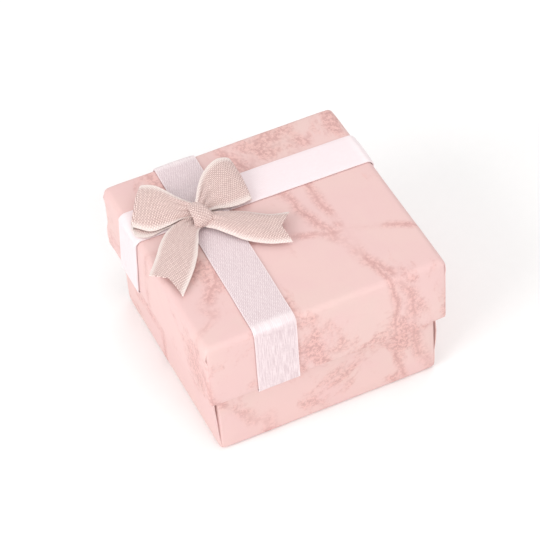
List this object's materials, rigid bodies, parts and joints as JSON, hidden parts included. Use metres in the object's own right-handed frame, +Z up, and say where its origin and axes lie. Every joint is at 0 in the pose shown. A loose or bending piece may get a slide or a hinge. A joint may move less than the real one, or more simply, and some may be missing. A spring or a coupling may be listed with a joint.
{
  "type": "jewelry gift box",
  "caption": "Small square lift-off-lid jewellery gift box in marbled paper, with satin ribbons and a tied bow on the lid and a slotted foam insert for a ring inside.",
  "frame": {"origin": "middle of the underside of the closed box", "axes": "+Z up out of the lid, -Y towards the front face that the cross ribbon comes down, +X to the right along the front face"},
  "size_m": [0.0549, 0.0524, 0.0369],
  "materials": {
    "marbled_paper": "matt pink paper with a soft marbled print",
    "greyboard": "raw grey board",
    "corner_tape": "gummed kraft paper",
    "white_paper": "matt white paper",
    "satin_ribbon": "pale pink satin, shiny along the weave",
    "bow_ribbon": "peach pink satin, coarser weave",
    "hot_glue": "cloudy",
    "foam": "open-cell white foam",
    "velvet": "white flocked velvet"
  },
  "bodies": {
    "base": {"base_board": "greyboard", "base_corner_stays": "corner_tape", "base_wrap": "marbled_paper", "base_liner": "white_paper"},
    "insert": {"insert_foam": "foam", "insert_velvet": "velvet"},
    "lid": {"lid_board": "greyboard", "lid_corner_stays": "corner_tape", "lid_wrap": "marbled_paper", "lid_liner": "white_paper", "ribbon_long": "satin_ribbon", "ribbon_cross": "satin_ribbon", "bow_glue": "hot_glue", "bow_knot": "bow_ribbon", "bow_left_loop": "bow_ribbon", "bow_right_loop": "bow_ribbon", "bow_left_tail": "bow_ribbon", "bow_right_tail": "bow_ribbon"}
  },
  "joints": [
    {"name": "insert_lift", "type": "slide", "parent": "base", "child": "insert", "axis": [0, 0, 1], "range_m": [0, 0.04]},
    {"name": "lid_lift", "type": "slide", "parent": "insert", "child": "lid", "axis": [0, 0, 1], "range_m": [0, 0.06]}
  ]
}
